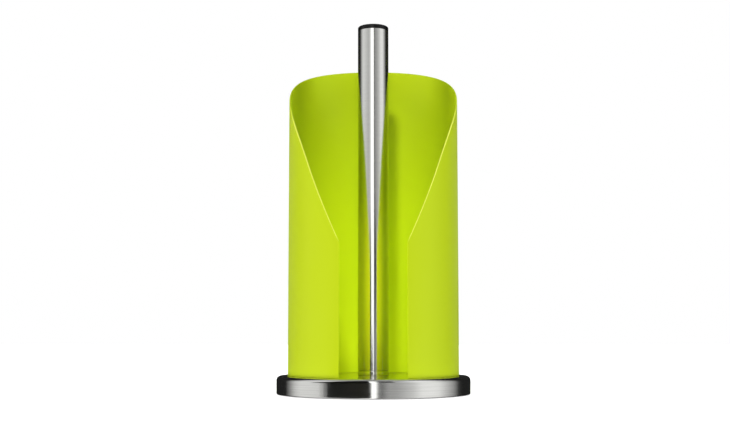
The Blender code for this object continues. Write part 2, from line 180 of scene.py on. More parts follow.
# Matt white emulsion, rolled on: no gloss at all, so the holder isn't mirrored in it.
table_paint, tree, shader = new_material("white table paint", "#F7F7F5", 0.9)
shader.inputs["Specular IOR Level"].default_value = 0.0
shader.inputs["Emission Color"].default_value = linear("#FFFFFF")
ray = add(tree, "ShaderNodeLightPath")
washed_out = add(
    tree, "ShaderNodeMath", {0: ray.outputs["Is Camera Ray"], 1: table_glow}, operation="MULTIPLY"
)
tree.links.new(washed_out.outputs[0], shader.inputs["Emission Strength"])
# From below the table is clear, so that the underside can be looked at.
side_seen = add(tree, "ShaderNodeNewGeometry")
clear = add(tree, "ShaderNodeBsdfTransparent")
one_sided = add(
    tree,
    "ShaderNodeMixShader",
    {"Fac": side_seen.outputs["Backfacing"], 1: shader.outputs["BSDF"], 2: clear.outputs["BSDF"]},
)
tree.links.new(one_sided.outputs[0], tree.nodes["Material Output"].inputs["Surface"])
table_mesh.materials.append(table_paint)


def flag(name, opacity, start, end, low, high, lean=0.0):
    """A card of black velvet, or of net, that only gloss sees: its foot runs from start to end at height low.

    Its upper edge is at height high, and leans back by lean.
    """
    cloth, _, shader = new_material(name, "#2C2C2C", 1.0)
    shader.inputs["Specular IOR Level"].default_value = 0.0
    shader.inputs["Alpha"].default_value = opacity
    upper_end = (end[0], end[1] + lean, high)
    upper_start = (start[0], start[1] + lean, high)
    mesh = bpy.data.meshes.new(name)
    mesh.from_pydata([(*start, low), (*end, low), upper_end, upper_start], [], [(0, 1, 2, 3)])
    mesh.materials.append(cloth)
    card = bpy.data.objects.new(name, mesh)
    card.visible_camera = False
    card.visible_diffuse = False
    card.visible_shadow = False
    bpy.context.collection.objects.link(card)


# Low cards in front and to the left make the dark zone on the dish, up to the window's edge.
flag("velvet in front of the dish", 1.0, (-0.150, -0.150), (-0.0047, -0.150), -0.060, 0.030)
flag("velvet over the dish", 1.0, (-0.150, -0.150), (-0.0047, -0.150), 0.030, 0.030, lean=0.070)
flag("net beside it", 0.65, (-0.178, -0.150), (-0.150, -0.150), -0.060, 0.030)
flag("thin net beside it", 0.25, (-0.215, -0.150), (-0.178, -0.150), -0.060, 0.030)

# Cards at the height of the slit make the dark lines beside the bright strip low on the tube.
flag("velvet in front of the tube, right", 1.0, (0.013, -0.150), (0.055, -0.150), 0.060, 0.150)
flag("velvet in front of the tube, left", 1.0, (-0.080, -0.150), (-0.040, -0.150), 0.030, 0.140)

# High cards on both sides draw the dark lines down the edges of the tube above the mantle.
flag("thin net, left", 0.3, (-0.250, -0.010), (-0.250, 0.044), 0.100, 0.600)
flag("net, left", 0.7, (-0.250, 0.044), (-0.250, 0.110), 0.100, 0.600)
flag("velvet, left", 1.0, (-0.250, 0.110), (-0.250, 0.500), 0.100, 0.600)
flag("thin net, right", 0.3, (0.250, -0.030), (0.250, 0.044), 0.100, 0.600)
flag("net, right", 0.8, (0.250, 0.044), (0.250, 0.090), 0.100, 0.600)
flag("velvet, right", 1.0, (0.250, 0.090), (0.250, 0.500), 0.100, 0.600)


def softbox(name, strength, width, elevation, bearing, colour=(1, 1, 1)):
    """A far softbox, by its width, elevation and bearing in degrees. Gloss sees the room's walls instead."""
    light = bpy.data.lights.new(name, "SUN")
    light.energy = strength
    light.angle = math.radians(width)
    light.color = colour
    lamp = bpy.data.objects.new(name, light)
    lamp.rotation_euler = (math.radians(90 - elevation), 0, math.radians(bearing))
    lamp.visible_glossy = False
    bpy.context.collection.objects.link(lamp)


warm_white = (1.0, 0.88, 0.7)
softbox("high front softbox", 1.80, width=5, elevation=46, bearing=-8)
softbox("main front softbox", 0.28, width=8, elevation=15, bearing=0, colour=warm_white)
softbox("low front softbox", 0.54, width=14, elevation=3, bearing=0, colour=warm_white)
softbox("top softbox", 0.55, width=40, elevation=60, bearing=180)
softbox("lamp under the table, left", 1.85, width=30, elevation=-12, bearing=-70, colour=(1.0, 0.94, 0.8))
softbox("lamp under the table, right", 1.70, width=30, elevation=-12, bearing=70)
softbox("back softbox, left", 1.60, width=30, elevation=6, bearing=-150)
softbox("back softbox, right", 1.60, width=30, elevation=6, bearing=150)


strip_radius = 0.016  # tube's axis to a strip lamp
strip_width = 0.004


def strip_lamp(name, power, bearing, low, high, colour):
    """A slim upright lamp close to the tube, hidden from view: it lights the mantle's inside at a bearing."""
    light = bpy.data.lights.new(name, "AREA")
    light.shape = "RECTANGLE"
    light.size = strip_width
    light.size_y = high - low
    light.energy = power
    light.color = colour
    turn = math.radians(bearing)
    lamp = bpy.data.objects.new(name, light)
    lamp.location = (strip_radius * math.sin(turn), -strip_radius * math.cos(turn), (low + high) / 2)
    lamp.rotation_euler = (math.pi / 2, 0, turn + math.pi)
    lamp.visible_camera = False
    lamp.visible_glossy = False
    bpy.context.collection.objects.link(lamp)


strip_lamp("front strip lamp", 0.090, 0, low=0.015, high=0.155, colour=(1.0, 0.76, 0.6))
strip_lamp("left strip lamp", 0.025, -100, low=0.015, high=0.155, colour=(1.0, 0.80, 0.6))
strip_lamp("right strip lamp", 0.018, 100, low=0.015, high=0.155, colour=(1.0, 0.94, 0.8))
strip_lamp("low strip lamp, left", 0.004, -150, low=0.015, high=0.035, colour=(1.0, 0.84, 0.6))
strip_lamp("low strip lamp, right", 0.0016, 140, low=0.015, high=0.035, colour=(1.0, 0.84, 0.6))


# Base dish: one drawn stainless sheet, 1 mm thick, with a soft upper corner. It is brushed on a turntable, so
# its lines run round it. The bolt and the three mantle screws come up through its top.
ARC_STEPS = 10  # facets in a rounded corner
TURN_STEPS = 288  # facets round a large turned piece
WELD_DISTANCE = 1e-7
SHARP_ANGLE = math.radians(35)


def rounded_outline(corners, closed=True):
    """Outline through corners (x, y, fillet): a fillet is a circle's arc that touches both of its sides."""
    spots = np.array([corner[:2] for corner in corners], float)
    outline = []
    for i, (x, y, fillet) in enumerate(corners):
        if fillet == 0 or (not closed and i in (0, len(corners) - 1)):
            outline.append([(x, y)])
            continue
        back = spots[i - 1] - spots[i]
        on = spots[(i + 1) % len(spots)] - spots[i]
        back, on = back / np.linalg.norm(back), on / np.linalg.norm(on)
        half = math.acos(np.clip(back @ on, -1, 1)) / 2
        centre = spots[i] + (back + on) / np.linalg.norm(back + on) * fillet / math.sin(half)
        start = spots[i] + back * fillet / math.tan(half) - centre
        end = spots[i] + on * fillet / math.tan(half) - centre
        across = end - start * (end @ start) / fillet**2
        across *= fillet / np.linalg.norm(across)
        angle = np.linspace(0, math.pi - 2 * half, ARC_STEPS + 1)[:, None]
        outline.append(centre + start * np.cos(angle) + across * np.sin(angle))
    return np.concatenate(outline)


def new_piece(name, points, faces, material, nodes, along=None, around=None, at_edge=None):
    """A finished mesh at its real place: doubles merged, faces outwards, smooth with its sharp edges kept.

    along and around give each face corner's distance along the profile and round the piece, in metres.
    at_edge gives each point 1 on a cut edge and 0 on a face: the share of the painted highlight there.
    """
    mesh = bpy.data.meshes.new(name)
    mesh.from_pydata(points.reshape(-1, 3), [], faces.reshape(-1, 4))
    if along is not None:
        layer = mesh.uv_layers.new(name="profile")
        layer.data.foreach_set("uv", np.stack([along.ravel(), around.ravel()], axis=1).ravel())
    if at_edge is not None:
        mesh.attributes.new("cut edge", "FLOAT", "POINT").data.foreach_set("value", at_edge)
    shape = bmesh.new()
    shape.from_mesh(mesh)
    bmesh.ops.remove_doubles(shape, verts=shape.verts, dist=WELD_DISTANCE)
    bmesh.ops.recalc_face_normals(shape, faces=shape.faces)
    shape.to_mesh(mesh)
    shape.free()
    mesh.shade_smooth()
    mesh.set_sharp_from_angle(angle=SHARP_ANGLE)
    mesh.materials.append(material)
    piece = bpy.data.objects.new(name, mesh)
    bpy.context.collection.objects.link(piece)
    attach(piece, "root")
    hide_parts(*nodes)


def turned_surface(outline, steps=TURN_STEPS, closed=True, centre=(0, 0)):
    """Surface of revolution: row i at angle a is (r cos a, r sin a, z), where (r, z) is outline point i.

    An outline's radius may be a row of numbers, one for each angle, for a key socket or a shaped plate.
    """
    radius = np.array([np.broadcast_to(row[0], steps) for row in outline], float)
    height = np.array([np.broadcast_to(row[1], steps) for row in outline], float)
    angle = np.arange(steps) * 2 * math.pi / steps
    points = np.stack(
        [centre[0] + radius * np.cos(angle), centre[1] + radius * np.sin(angle), height], axis=2
    )
    rows = len(radius)
    bands = rows if closed else rows - 1
    i, j = np.meshgrid(np.arange(bands), np.arange(steps), indexing="ij")
    down, on = (i + 1) % rows, (j + 1) % steps
    faces = np.stack([i * steps + j, i * steps + on, down * steps + on, down * steps + j], axis=2)
    path = np.stack([radius.mean(axis=1), height.mean(axis=1)], axis=1)
    stretch = np.linalg.norm(np.roll(path, -1, axis=0) - path, axis=1)
    along = np.concatenate([[0], np.cumsum(stretch)])
    girth = 2 * math.pi * radius.max() / steps
    corner_along = np.stack([along[i], along[i], along[i + 1], along[i + 1]], axis=2)
    corner_around = np.stack([j, j + 1, j + 1, j], axis=2) * girth
    return points, faces, corner_along, corner_around


def turned(name, outline, material, slot, nodes, **surface):
    """A finished turned piece: the outline swept round the tube's axis, or round a centre of its own."""
    points, faces, along, around = turned_surface(outline, **surface)
    new_piece(name, points, faces, material, nodes, along, around)


grain_low = 0.3  # nearly all of a noise texture's values lie above this, and below grain_high
grain_high = 0.7
tone_low = 0.35  # a brushed line's shade changes between these values of the noise
tone_high = 0.65
gloss_swing = 0.15  # share by which a brushed line is duller or glossier than the rest


def brushed_steel(name, colour, shade, roughness, spread, line_pitch, line_length, girth_radius, depth):
    """Stainless steel brushed as it turns: lines round the piece, which draw each highlight out across them.

    The lines are noise at (distance round / line length, distance along the profile / line pitch). They run
    from shade to colour.
    """
    material, tree, shader = new_material(name, colour, roughness, metallic=1.0)
    shader.inputs["Anisotropic"].default_value = spread
    tangent = add(tree, "ShaderNodeTangent", direction_type="UV_MAP", uv_map="profile")
    tree.links.new(tangent.outputs[0], shader.inputs["Tangent"])
    place = add(tree, "ShaderNodeTexCoord")
    flat = add(
        tree, "ShaderNodeVectorMath", {0: place.outputs["Object"], 1: (1, 1, 0)}, operation="MULTIPLY"
    )
    out = add(tree, "ShaderNodeVectorMath", {0: flat.outputs[0]}, operation="NORMALIZE")
    round_it = add(
        tree,
        "ShaderNodeVectorMath",
        {0: out.outputs[0], "Scale": girth_radius / line_length},
        operation="SCALE",
    )
    profile = add(tree, "ShaderNodeUVMap", uv_map="profile")
    distance = add(tree, "ShaderNodeSeparateXYZ", {"Vector": profile.outputs[0]})
    lines = add(tree, "ShaderNodeMath", {0: distance.outputs["X"], 1: 1 / line_pitch}, operation="MULTIPLY")
    upright = add(tree, "ShaderNodeCombineXYZ", {"Z": lines.outputs[0]})
    spot = add(tree, "ShaderNodeVectorMath", {0: round_it.outputs[0], 1: upright.outputs[0]}, operation="ADD")
    grain = add(
        tree, "ShaderNodeTexNoise", {"Vector": spot.outputs[0], "Scale": 1.0, "Detail": 3.0, "Roughness": 0.6}
    )
    gloss = add(
        tree,
        "ShaderNodeMapRange",
        {
            "Value": grain.outputs["Fac"],
            "From Min": grain_low,
            "From Max": grain_high,
            "To Min": roughness * (1 - gloss_swing),
            "To Max": roughness * (1 + gloss_swing),
        },
    )
    tree.links.new(gloss.outputs[0], shader.inputs["Roughness"])
    cut = add(
        tree,
        "ShaderNodeMapRange",
        {"Value": grain.outputs["Fac"], "From Min": tone_low, "From Max": tone_high},
    )
    tone = add(
        tree,
        "ShaderNodeMix",
        {"Factor": cut.outputs[0], "A": linear(shade), "B": linear(colour)},
        data_type="RGBA",
    )
    tree.links.new(tone.outputs["Result"], shader.inputs["Base Color"])
    bump = add(tree, "ShaderNodeBump", {"Strength": 1.0, "Distance": depth, "Height": grain.outputs["Fac"]})
    tree.links.new(bump.outputs[0], shader.inputs["Normal"])
    return material


dish_low, dish_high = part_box("base_dish")
dish_radius = dish_high.x
dish_top = dish_high.z
dish_rim = dish_low.z
dish_wall = 0.0010
dish_corner = 0.0035
rim_corner = 0.0009
bolt_hole = 0.0044
dish_outline = rounded_outline(
    [
        (bolt_hole, dish_top, 0),
        (dish_radius, dish_top, dish_corner),
        (dish_radius, dish_rim, rim_corner),
        (dish_radius - dish_wall, dish_rim, 0),
        (dish_radius - dish_wall, dish_top - dish_wall, dish_corner - dish_wall),
        (bolt_hole, dish_top - dish_wall, 0),
    ]
)
# Brushed stainless steel: a bright grey with faint lines round it, which stretch each reflection up and down.
# The real lines are about 0.1 mm apart, and are drawn 0.9 mm apart so that they show.
dish_steel = brushed_steel(
    "brushed stainless steel, dish",
    "#D2D2CF",
    shade="#C9C9C6",
    roughness=0.16,
    spread=0.7,
    line_pitch=0.0009,
    line_length=0.060,
    girth_radius=dish_radius,
    depth=0.000001,
)
turned("dish", dish_outline, dish_steel, "base_steel", ["base_dish"])


# Ballast: a turned mild-steel disc, oiled against rust. It fills the dish, takes the bolt and the screws in
# counterbores from below, and keeps the holder standing while paper is torn off.
tool_ring_pitch = 0.00047
wave_period = math.pi / 10  # of a wave texture at scale 1
oil_patch = 0.0167
# Turned mild steel under oil: dark grey, with tool rings, and shinier in patches where the oil lies. The real
# rings are about 0.1 mm apart, and are drawn coarser so that they show.
ballast_steel, tree, shader = new_material("turned mild steel, oiled", "#6E6B66", 0.42, metallic=1.0)
place = add(tree, "ShaderNodeTexCoord")
rings = add(
    tree,
    "ShaderNodeTexWave",
    {
        "Vector": place.outputs["Object"],
        "Scale": wave_period / tool_ring_pitch,
        "Distortion": 0.4,
        "Detail": 2.0,
    },
    wave_type="RINGS",
    rings_direction="Z",
)
bump = add(tree, "ShaderNodeBump", {"Strength": 0.5, "Distance": 0.00003, "Height": rings.outputs["Fac"]})
tree.links.new(bump.outputs[0], shader.inputs["Normal"])
stain = add(
    tree, "ShaderNodeTexNoise", {"Vector": place.outputs["Object"], "Scale": 1 / oil_patch, "Detail": 4.0}
)
oil = add(tree, "ShaderNodeMapRange", {"Value": stain.outputs["Fac"], "To Min": 0.25, "To Max": 0.55})
tree.links.new(oil.outputs[0], shader.inputs["Roughness"])
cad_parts["ballast_disc"].material_slots[0].material = ballast_steel


# Tube bolt, lock washer, screws, washers and clinch nuts: zinc-plated steel, cold headed with rolled threads.
# The bolt clamps ballast, dish and foot together, and the small screws do the same for the mantle's tabs.
zinc_bloom = 0.00286
# Bright zinc plating on steel: a cool, slightly blue grey, with a milky bloom in patches about 3 mm across.
zinc, tree, shader = new_material("bright zinc plating on steel", "#B9C0C6", 0.32, metallic=1.0)
place = add(tree, "ShaderNodeTexCoord")
bloom = add(
    tree, "ShaderNodeTexNoise", {"Vector": place.outputs["Object"], "Scale": 1 / zinc_bloom, "Detail": 5.0}
)
haze = add(tree, "ShaderNodeMapRange", {"Value": bloom.outputs["Fac"], "To Min": 0.22, "To Max": 0.46})
tree.links.new(haze.outputs[0], shader.inputs["Roughness"])
tint = add(
    tree,
    "ShaderNodeMix",
    {"Factor": bloom.outputs["Fac"], "A": linear("#A9B1BA"), "B": linear("#C9CCC8")},
    data_type="RGBA",
)
tree.links.new(tint.outputs["Result"], shader.inputs["Base Color"])

SCREW_STEPS = 60  # facets round a small turned piece
screw_angle = np.arange(SCREW_STEPS) * 2 * math.pi / SCREW_STEPS
THREAD_ROWS = 6  # rows of points in one pitch
thread_depth = 0.54  # of the pitch
key_chamfer = 0.0002  # depth of the driver recess's mouth
key_mouth = 1.05  # its width, as a share of the key
key_floor = 0.7  # radius of the recess's flat floor, as a share of the key
key_shoulder = 0.8  # depth of the full key, as a share of the recess
point_taper = 0.8  # radius lost at the screw's point, as a share of the pitch
edge_break = 0.0001  # fillet at the head's seat
never_zero = 1e-9


def hexagon(across_flats):
    """Radius of a hexagon at each angle: half its size across flats / cos(angle from its nearest flat)."""
    return across_flats / 2 / np.cos(np.mod(screw_angle, math.pi / 3) - math.pi / 6)


def cross(half_width, length):
    """Radius of a cross at each angle: the larger of its two bars' radii, each bar cut off at its end."""
    side = np.abs(np.sin(screw_angle)) + never_zero
    end = np.abs(np.cos(screw_angle)) + never_zero
    first_bar = np.minimum(length / end, half_width / side)
    second_bar = np.minimum(length / side, half_width / end)
    return np.maximum(first_bar, second_bar)


def rolled_thread(crest, pitch, low, high):
    """Rows of a thread: radius = crest - depth x a triangle wave of height / pitch - angle / a full turn."""
    heights = np.arange(low, high, pitch / THREAD_ROWS)
    phase = np.mod(heights[:, None] / pitch - screw_angle / (2 * math.pi), 1)
    run_out = np.clip((high - heights[:, None]) / pitch, 0, 1)
    radii = crest - thread_depth * pitch * (1 - np.abs(2 * phase - 1) * run_out)
    return list(zip(radii, heights))


def screw(name, node, head_radius, head_height, head_round, shank, pitch, key, key_depth, cone=0.0):
    """A screw standing on its head: the driver's recess, the head, a plain neck, the thread and its point."""
    low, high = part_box(node)
    seat = low.z + head_height
    head = rounded_outline(
        [
            (key.max() * key_mouth, low.z, 0),
            (head_radius, low.z, head_round),
            (head_radius - cone, seat, edge_break),
            (shank, seat, 0),
        ],
        closed=False,
    )
    outline = [
        (0, low.z + key_depth),
        (key * key_floor, low.z + key_depth),
        (key, low.z + key_depth * key_shoulder),
        (key, low.z + key_chamfer),
        (key * key_mouth, low.z),
        *head,
        (shank, seat + pitch / 2),
        *rolled_thread(shank, pitch, seat + pitch, high.z - pitch),
        (shank - thread_depth * pitch, high.z - pitch),
        (shank - point_taper * pitch, high.z),
        (0, high.z),
    ]
    centre = ((low.x + high.x) / 2, (low.y + high.y) / 2)
    turned(name, outline, zinc, "zinc_fasteners", [node], steps=SCREW_STEPS, closed=False, centre=centre)


def ring(name, node, bore, corner):
    """A washer: a flat ring with rounded outer edges, filling its node's height."""
    low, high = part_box(node)
    outer = (high.x - low.x) / 2
    outline = rounded_outline(
        [(bore, high.z, 0), (outer, high.z, corner), (outer, low.z, corner), (bore, low.z, 0)]
    )
    centre = ((low.x + high.x) / 2, (low.y + high.y) / 2)
    turned(name, outline, zinc, "zinc_fasteners", [node], steps=SCREW_STEPS, centre=centre)


screw(
    "centre_bolt",
    "tube_bolt",
    head_radius=0.0070,
    head_height=0.0044,
    head_round=0.0015,
    shank=0.0040,
    pitch=0.00125,
    key=hexagon(0.0050),
    key_depth=0.0025,
)
nut_collar = 0.0029
nut_bore = 0.0023
nut_flange = 0.0022
for number in (1, 2, 3):
    screw(
        f"plate_screw_{number}",
        f"floor_screw_{number}",
        head_radius=0.0038,
        head_height=0.0019,
        head_round=0.0003,
        shank=0.0020,
        pitch=0.0007,
        key=cross(half_width=0.00045, length=0.0021),
        key_depth=0.0011,
        cone=0.0017,
    )
    screw(
        f"tab_screw_{number}",
        f"mantle_screw_{number}",
        head_radius=0.0038,
        head_height=0.0022,
        head_round=0.0008,
        shank=0.0020,
        pitch=0.0007,
        key=hexagon(0.0025),
        key_depth=0.0013,
    )
    ring(f"tab_washer_{number}", f"mantle_washer_{number}", bore=0.0023, corner=0.0002)
    low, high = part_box(f"mantle_nut_{number}")
    outer = (high.x - low.x) / 2
    nut_outline = rounded_outline(
        [
            (nut_bore, high.z, 0.0002),
            (outer, high.z, 0.0004),
            (outer, high.z - nut_flange, 0.0001),
            (nut_collar, high.z - nut_flange, 0),
            (nut_collar, low.z, 0.0002),
            (nut_bore, low.z, 0),
        ]
    )
    turned(
        f"tab_nut_{number}",
        nut_outline,
        zinc,
        "zinc_fasteners",
        [f"mantle_nut_{number}"],
        steps=SCREW_STEPS,
        centre=((low.x + high.x) / 2, (low.y + high.y) / 2),
    )

# The spring washer is one turn of square wire with a cut across it, a little lower at one end of the cut.
# Point (i, j) is (r cos a, r sin a, z + lift x a / a full turn), for angle a(i) and outline point (r, z)(j).
low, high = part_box("tube_lock_washer")
wire_bore = 0.0043
wire_outer = high.y
wire_cut = 0.0012
wire_lift = 0.0003
wire_corner = 0.0002
wire_steps = 90
wire_top = high.z - low.z - wire_lift
wire = rounded_outline(
    [
        (wire_bore, wire_top, wire_corner),
        (wire_outer, wire_top, wire_corner),
        (wire_outer, 0, wire_corner),
        (wire_bore, 0, wire_corner),
    ]
)
wire_middle = wire.mean(axis=0)
half_cut = wire_cut / 2 / wire_middle[0]
wire_angle = np.linspace(half_cut, 2 * math.pi - half_cut, wire_steps)
wire_angle = np.concatenate([wire_angle[:1], wire_angle, wire_angle[-1:]])[:, None]
wire_rows = np.broadcast_to(wire, (len(wire_angle), *wire.shape)).copy()
wire_rows[[0, -1]] = wire_middle
wire_height = wire_rows[..., 1] + low.z + wire_lift * wire_angle / (2 * math.pi)
wire_points = np.stack(
    [wire_rows[..., 0] * np.cos(wire_angle), wire_rows[..., 0] * np.sin(wire_angle), wire_height], axis=2
)
i, j = np.meshgrid(np.arange(len(wire_angle) - 1), np.arange(len(wire)), indexing="ij")
on = (j + 1) % len(wire)
wire_faces = np.stack([i, i, i + 1, i + 1], axis=2) * len(wire) + np.stack([j, on, on, j], axis=2)
new_piece("spring_washer", wire_points, wire_faces, zinc, ["tube_lock_washer"])


# Floor plate: a black polypropylene moulding that closes the underside, screwed to the ballast. The rubber
# ring is pressed into its groove, and the holder stands on it.
spark_grain = 0.0004
# Polypropylene from a spark-eroded tool: a soft black with an even fine grain, and only a broad dull sheen.
plate_plastic, tree, shader = new_material("moulded black polypropylene", "#1B1B1C", 0.55, ior=1.49)
place = add(tree, "ShaderNodeTexCoord")
grain = add(
    tree, "ShaderNodeTexNoise", {"Vector": place.outputs["Object"], "Scale": 1 / spark_grain, "Detail": 2.0}
)
bump = add(tree, "ShaderNodeBump", {"Strength": 0.6, "Distance": 0.00004, "Height": grain.outputs["Fac"]})
tree.links.new(bump.outputs[0], shader.inputs["Normal"])
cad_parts["floor_plate"].material_slots[0].material = plate_plastic

rubber_grain = 0.0008
# Moulded rubber: a dull mid grey with a slightly uneven, dusty skin and no clear reflection.
rubber, tree, shader = new_material("moulded grey rubber", "#4A4A4A", 0.8, ior=1.52)
place = add(tree, "ShaderNodeTexCoord")
dust = add(
    tree, "ShaderNodeTexNoise", {"Vector": place.outputs["Object"], "Scale": 1 / rubber_grain, "Detail": 3.0}
)
bump = add(tree, "ShaderNodeBump", {"Strength": 0.5, "Distance": 0.00005, "Height": dust.outputs["Fac"]})
tree.links.new(bump.outputs[0], shader.inputs["Normal"])
ring_low, ring_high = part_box("anti_slip_ring")
ring_width = 0.0060
ring_corner = 0.0006
ring_outline = rounded_outline(
    [
        (ring_high.x - ring_width, ring_high.z, 0),
        (ring_high.x, ring_high.z, 0),
        (ring_high.x, ring_low.z, ring_corner),
        (ring_high.x - ring_width, ring_low.z, ring_corner),
    ]
)
turned("anti_slip_rubber", ring_outline, rubber, "ring_rubber", ["anti_slip_ring"])


# Tube foot: a turned and polished stainless collar that stands on the dish, with a spigot up inside the tube
# and an M8 thread for the bolt. Its small rounded edge makes the bright line under the seam.
tube_low, tube_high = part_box("tube")
foot_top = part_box("tube_foot")[1].z
foot_bore = 0.0043
tube_radius = tube_high.x
tube_wall = 0.0010
press_gap = 0.0003  # stands for the press fit of a spigot in the tube
spigot_radius = tube_radius - tube_wall - press_gap
seam = 0.0188  # height of the collar's upper face
foot_outline = rounded_outline(
    [
        (foot_bore, foot_top, 0),
        (spigot_radius, foot_top, 0.0006),
        (spigot_radius, seam, 0),
        (tube_radius, seam, 0.0007),
        (tube_radius, dish_top, 0.0005),
        (foot_bore, dish_top, 0),
    ]
)
# Stainless steel turned and polished: much like the tube, with finer lines and a little more of a mirror.
foot_steel = brushed_steel(
    "polished stainless steel, foot",
    "#D4D4D1",
    shade="#CCCCC9",
    roughness=0.20,
    spread=0.6,
    line_pitch=0.0003,
    line_length=0.020,
    girth_radius=tube_radius,
    depth=0.000001,
)
turned("foot", foot_outline, foot_steel, "foot_steel", ["tube_foot"], steps=160)


# Tube: 25 mm stainless tube with a 1 mm wall, centreless ground. It is pressed over the foot's spigot, and
# ends just above the collar, which leaves the fine dark seam.
tube_edge = 0.0003
tube_outline = rounded_outline(
    [
        (tube_radius - tube_wall, tube_high.z, 0),
        (tube_radius, tube_high.z, tube_edge),
        (tube_radius, tube_low.z, tube_edge),
        (tube_radius - tube_wall, tube_low.z, 0),
    ]
)
# Centreless ground stainless steel: fine lines round it, so it mirrors the room sharply from side to side and
# draws every reflection out up and down. The real lines are under 0.1 mm apart, and are drawn 0.5 mm apart.
tube_steel = brushed_steel(
    "ground stainless steel, tube",
    "#D0D0CD",
    shade="#CACAC7",
    roughness=0.206,
    spread=0.946,
    line_pitch=0.0005,
    line_length=0.015,
    girth_radius=tube_radius,
    depth=0.0000001,
)
turned("tube_shell", tube_outline, tube_steel, "tube_steel", ["tube"], steps=192)


# Tube cap: a black ABS plug, injection moulded in a polished tool and pressed into the tube, with a hollow
# spigot. Its crown is slightly domed and its shoulder is rounded.
cap_low, cap_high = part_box("tube_cap")
cap_seat = tube_high.z + press_gap
cap_crown = 0.0005  # height of the dome: z falls by crown x (radius / tube radius) squared
cap_shoulder = 0.0011
cap_spigot_wall = 0.0015
cap_roof = 0.0020
cap_radii = np.linspace(0, tube_radius - cap_shoulder, 12)[:-1]
cap_dome = [(radius, cap_high.z - cap_crown * (radius / tube_radius) ** 2, 0) for radius in cap_radii]
cap_outline = rounded_outline(
    cap_dome
    + [
        (tube_radius, cap_high.z - cap_crown, cap_shoulder),
        (tube_radius, cap_seat, 0.0002),
        (spigot_radius, cap_seat, 0),
        (spigot_radius, cap_low.z, 0.0004),
        (spigot_radius - cap_spigot_wall, cap_low.z, 0.0004),
        (spigot_radius - cap_spigot_wall, cap_high.z - cap_crown - cap_roof, 0.0008),
        (0, cap_high.z - cap_crown - cap_roof, 0),
    ],
    closed=False,
)
cap_wipe = 0.00455
# Gloss black ABS: a deep black with a narrow highlight on its shoulder, dulled in places where it is wiped.
cap_plastic, tree, shader = new_material("moulded gloss black ABS", "#060606", 0.3, ior=1.53)
shader.inputs["Specular IOR Level"].default_value = 0.2
place = add(tree, "ShaderNodeTexCoord")
wipe = add(
    tree, "ShaderNodeTexNoise", {"Vector": place.outputs["Object"], "Scale": 1 / cap_wipe, "Detail": 3.0}
)
smear = add(tree, "ShaderNodeMapRange", {"Value": wipe.outputs["Fac"], "To Min": 0.22, "To Max": 0.38})
tree.links.new(smear.outputs[0], shader.inputs["Roughness"])
turned("cap", cap_outline, cap_plastic, "cap_plastic", ["tube_cap"], steps=160, closed=False)


# Mantle: 1 mm sheet steel, cut flat with a curved rim, rolled into an open cylinder and powder coated lime
# green. It stands on the dish, and three small inward tabs with clinch nuts take the screws from below.
mantle_low, mantle_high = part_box("mantle")
sheet = 0.0010
sheet_edge = 0.00035  # rounding of the cut edge under its coat
mantle_radius = mantle_high.x - sheet / 2
slit_width = 0.0516
slit_top = 0.1172
slit_fillet = 0.0050
rim_slope = math.radians(64)  # of the flat sheet's straight edge, against the table
seat_gap = 0.00002  # dish to the mantle's lower edge
mantle_seat = dish_top + seat_gap
MANTLE_ROWS = 40  # points from the lower edge up to the rim
ARC_POINTS = 130  # points along half of the rim's arc, along each slope, and round each slit corner
STRAIGHT_POINTS = 30
FILLET_POINTS = 9
EDGE_POINTS = 5  # points in each quarter circle of the sheet's edge


def formed_sheet(lower, lower_out, upper, upper_out, rows, thickness, edge, place):
    """A sheet's closed surface: two faces a thickness apart and a rounded edge all round, bent by a function.

    On the flat sheet a face point lies between lower[i] and upper[i]. From the face's border the edge runs
    a quarter circle out, straight across and a quarter circle back, by edge x sin(t) out, edge x cos(t) up.
    """
    columns = len(lower)
    inner_lower = lower - lower_out * edge
    inner_upper = upper - upper_out * edge
    share = np.linspace(0, 1, rows)[:, None, None]
    face = (inner_lower * (1 - share) + inner_upper * share).reshape(-1, 2)
    grid = np.arange(rows * columns).reshape(rows, columns)
    border = np.concatenate([grid[0, :-1], grid[:-1, -1], grid[-1, :0:-1], grid[:0:-1, 0]])
    outwards = np.zeros((rows, columns, 2))
    outwards[:, 0] = (-1.0, 0.0)
    outwards[:, -1] = (1.0, 0.0)
    outwards[0] = lower_out
    outwards[-1] = upper_out
    outwards = outwards.reshape(-1, 2)[border]
    sweep = np.linspace(0, math.pi / 2, EDGE_POINTS)
    out = np.concatenate([np.sin(sweep), np.sin(sweep[::-1])]) * edge
    level = thickness / 2 - edge + np.cos(sweep) * edge
    level = np.concatenate([level, -level[::-1]])
    rings = face[border] + outwards * out[1:-1, None, None]
    flat = np.concatenate([face, face, rings.reshape(-1, 2)])
    depth = np.concatenate(
        [
            np.full(len(face), thickness / 2),
            np.full(len(face), -thickness / 2),
            np.repeat(level[1:-1], len(border)),
        ]
    )
    quads = np.stack([grid[:-1, :-1], grid[:-1, 1:], grid[1:, 1:], grid[1:, :-1]], axis=2).reshape(-1, 4)
    first_ring = 2 * len(face)
    loops = np.arange(first_ring, first_ring + rings.shape[0] * len(border)).reshape(-1, len(border))
    loops = np.concatenate([border[None], loops, border[None] + len(face)])
    on = np.roll(loops, -1, axis=1)
    strip = np.stack([loops[:-1], on[:-1], on[1:], loops[1:]], axis=2).reshape(-1, 4)
    faces = np.concatenate([quads, quads[:, ::-1] + len(face), strip[:, ::-1]])
    return place(flat[:, 0], flat[:, 1], depth), faces


def rolled(along, height, depth):
    """Rolls the flat sheet round the tube's axis: bearing = distance along / radius, from the back centre."""
    bearing = along / mantle_radius
    radius = mantle_radius + depth
    return np.stack([-radius * np.sin(bearing), radius * np.cos(bearing), height], axis=1)


